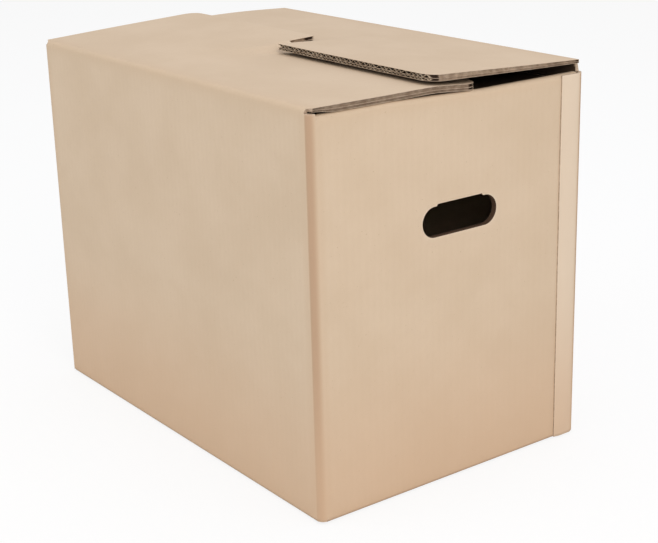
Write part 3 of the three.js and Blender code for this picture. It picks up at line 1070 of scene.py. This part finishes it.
def linerMaterial(fibre, washboard):
    material, tree, shader = newMaterial("kraftLiner")
    flatMap = newNode(tree, "ShaderNodeUVMap", (-1700, 0))
    flatMap.uv_map = "flat"
    flat = flatMap.outputs[0]
    fibres = groupNode(tree, fibre, (-1400, 300), Vector=flat)
    wave = groupNode(tree, washboard, (-1400, -200), Vector=flat, Pitch=kraft["flutePitch"])["Wave"]
    cloud = ramp(tree, fibres["Cloud"], kraft["cloudRange"], (-1100, 400))
    colour = mixColour(tree, cloud, kraft["darkPaper"], kraft["lightPaper"], (-900, 400))
    colour = mixColour(tree, kraft["evenness"], colour, kraft["paper"], (-700, 400))
    shares = toneShares(tree, flat, fibres, wave, cloud)
    for column, (name, tone) in enumerate(tones.items()):
        place = (column * 200 - 500, 400)
        colour = laidOver(tree, colour, tone["colour"], shares[name], tone["strength"], place)

    normal = None
    for column, (name, values) in enumerate(paperBumps.items()):
        bump = newNode(tree, "ShaderNodeBump", (300 + column * 200, -500), **values)
        feed(tree, bump, {"Height": wave if name == "Wave" else fibres[name]})
        if normal:
            feed(tree, bump, {"Normal": normal})
        normal = bump.outputs["Normal"]
    smoothest = kraft["roughness"] - kraft["roughnessSpread"]
    roughest = kraft["roughness"] + kraft["roughnessSpread"]
    feed(tree, shader, {
        "Base Color": colour,
        "Roughness": spread(tree, fibres["Grain"], smoothest, roughest, (300, -100)),
        "Specular IOR Level": kraft["gloss"],
        "Normal": normal,
    })
    return material


def cutMaterial(name):
    look = cutPaper[name]
    material, tree, shader = newMaterial(name)
    place = newNode(tree, "ShaderNodeTexCoord", (-1200, 0)).outputs["Object"]
    patches = newNode(tree, "ShaderNodeTexNoise", (-900, 200), Vector=place, **rawBoard["patches"])
    fuzz = newNode(tree, "ShaderNodeTexNoise", (-900, -200), Vector=place, **rawBoard["fuzz"]).outputs["Fac"]
    share = ramp(tree, patches.outputs["Fac"], rawBoard["patchRange"], (-600, 200))
    colour = mixColour(tree, share, look["dark"], look["pale"], (-300, 200))
    spots = ramp(tree, fuzz, rawBoard["fuzzRange"], (-600, -100))
    colour = laidOver(tree, colour, look["pale"], spots, rawBoard["fuzzStrength"], (-100, 200))
    # Little light gets into the flutes.
    inner = ramp(tree, attributeValue(tree, "inner", (-900, 500)), look["reach"], (-600, 500))
    bump = newNode(tree, "ShaderNodeBump", (-300, -450), Height=fuzz, **rawBoard["bump"])
    feed(tree, shader, {
        "Base Color": mixColour(tree, inner, colour, look["deep"], (100, 200)),
        "Roughness": spread(tree, fuzz, *rawBoard["roughness"], (-300, -200)),
        "Specular IOR Level": rawBoard["gloss"],
        "Normal": bump.outputs["Normal"],
    })
    return material


liner = linerMaterial(fibreGroup(), washboardGroup())
cutBoard = cutMaterial("cutBoard")
wavyMedium = cutMaterial("wavyMedium")
print("materials ready")

sheetParts = [mainSheet(), handFlap(panels["front"]), handFlap(panels["back"])]
cartonBoard = boardObject("cartonBoard", joinedParts(sheetParts), [liner, cutBoard])
print("board folded:", len(cartonBoard.data.polygons), "faces")

cartonFlutes = boardObject("cartonFlutes", joinedParts(fluteParts(fluteTree(wavyMedium))), [wavyMedium])
print("flutes bent into the edges:", len(cartonFlutes.data.polygons), "faces")

for piece in (cartonBoard, cartonFlutes):
    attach(piece, "root")
    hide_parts("carton_blank")

studio = {
    "floorSize": 12,
    "floorDrop": 0.0004,  # keeps it clear of the box
    "floorColour": (0.92, 0.92, 0.92, 1),
    "floorRoughness": 0.9,
    "floorGlow": 0.82,
    "worldStrength": 0.62,
    "aim": (0, 0, 0.2),
}

lights = {
    "keyLight": {"place": (3.0, -1.2, 2.4), "size": 2.4, "power": 55, "colour": (1, 0.94, 0.88)},
    "topLight": {"place": (0.2, 0.4, 3.4), "size": 2.6, "power": 31, "colour": (0.84, 0.87, 1)},
    "fillLight": {"place": (-1.6, -3.2, 1.8), "size": 2.6, "power": 24, "colour": (0.93, 0.98, 1)},
}

white = (1, 1, 1, 1)


# Mixes what the camera sees of a surface with what lights the box
def seenMix(tree, lit, seen, share, place):
    mix = newNode(tree, "ShaderNodeMixShader", place)
    feed(tree, mix, {0: share, 1: lit, 2: seen})
    return mix.outputs[0]


def plainFloor():
    half = studio["floorSize"] / 2
    mesh = bpy.data.meshes.new("studioFloor")
    outline = [(-half, -half), (half, -half), (half, half), (-half, half)]
    mesh.from_pydata([(x, y, -studio["floorDrop"]) for x, y in outline], [], [(0, 1, 2, 3)])
    floor = bpy.data.objects.new("studioFloor", mesh)
    bpy.context.scene.collection.objects.link(floor)
    material, tree, shader = newMaterial("floorPaper")
    feed(tree, shader, {
        "Base Color": studio["floorColour"],
        "Roughness": studio["floorRoughness"],
        "Specular IOR Level": 0.0,
    })
    # The camera sees the floor lighter than it is, so that it joins the white backdrop and keeps its shadow.
    rays = newNode(tree, "ShaderNodeLightPath", (-400, 300))
    glow = newNode(tree, "ShaderNodeEmission", (-100, -200), Color=white, Strength=1.0)
    share = mathNode(tree, "MULTIPLY", rays.outputs["Is Camera Ray"], studio["floorGlow"], (-200, 300))
    surface = seenMix(tree, shader.outputs[0], glow.outputs[0], share, (200, 200))
    feed(tree, tree.nodes["Material Output"], {"Surface": surface})
    mesh.materials.append(material)
    return floor


def areaLight(name, values):
    data = bpy.data.lights.new(name, "AREA")
    data.color = values["colour"]
    data.shape = "SQUARE"
    data.size = values["size"]
    data.energy = values["power"]
    lamp = bpy.data.objects.new(name, data)
    lamp.location = values["place"]
    towards = Vector(studio["aim"]) - Vector(values["place"])
    lamp.rotation_euler = towards.to_track_quat("-Z", "Y").to_euler()
    bpy.context.scene.collection.objects.link(lamp)


# The camera sees the world pure white, and less of it lights the box.
def studioWorld():
    world = bpy.data.worlds.new("studioWorld")
    world.use_nodes = True
    tree = world.node_tree
    background = tree.nodes["Background"]
    feed(tree, background, {"Color": white, "Strength": studio["worldStrength"]})
    backdrop = newNode(tree, "ShaderNodeBackground", (0, -200), Color=white, Strength=1.0)
    rays = newNode(tree, "ShaderNodeLightPath", (-300, 300)).outputs["Is Camera Ray"]
    surface = seenMix(tree, background.outputs[0], backdrop.outputs[0], rays, (250, 0))
    feed(tree, tree.nodes["World Output"], {"Surface": surface})
    return world


plainFloor()
for lightName, lightValues in lights.items():
    areaLight(lightName, lightValues)
scene = bpy.context.scene
scene.world = studioWorld()
scene.view_settings.view_transform = "Standard"
print("studio lit")

# The photo's camera, from its fit to the outline of the box
view = {
    "azimuth": 53.862,
    "elevation": 18.447,
    "roll": -1.576,
    "focalPixels": 1451.5,
    "imageWidth": 658,
    "sensorWidth": 36,
    "clipEnd": 50,
    # The next three are in box heights.
    "distance": 4.0035,
    "across": -0.073529,
    "up": 0.111724,
    "boxHeight": 0.4,
}


def photoCamera():
    azimuth = math.radians(view["azimuth"])
    elevation = math.radians(view["elevation"])
    roll = math.radians(view["roll"])
    level = math.cos(elevation)
    back = Vector((math.sin(azimuth) * level, -math.cos(azimuth) * level, math.sin(elevation)))
    right = Vector((math.cos(azimuth), math.sin(azimuth), 0))
    up = back.cross(right)
    turnedRight = right * math.cos(roll) + up * math.sin(roll)
    turnedUp = up * math.cos(roll) - right * math.sin(roll)
    turn = Matrix((turnedRight, turnedUp, back)).transposed()
    place = turn @ Vector((-view["across"], -view["up"], view["distance"])) * view["boxHeight"]
    place.z += view["boxHeight"] / 2
    data = bpy.data.cameras.new("photoCamera")
    data.sensor_width = view["sensorWidth"]
    data.lens = view["focalPixels"] / view["imageWidth"] * view["sensorWidth"]
    data.clip_end = view["clipEnd"]
    camera = bpy.data.objects.new("photoCamera", data)
    camera.matrix_world = Matrix.Translation(place) @ turn.to_4x4()
    scene.collection.objects.link(camera)
    scene.camera = camera


photoCamera()
print("camera set")
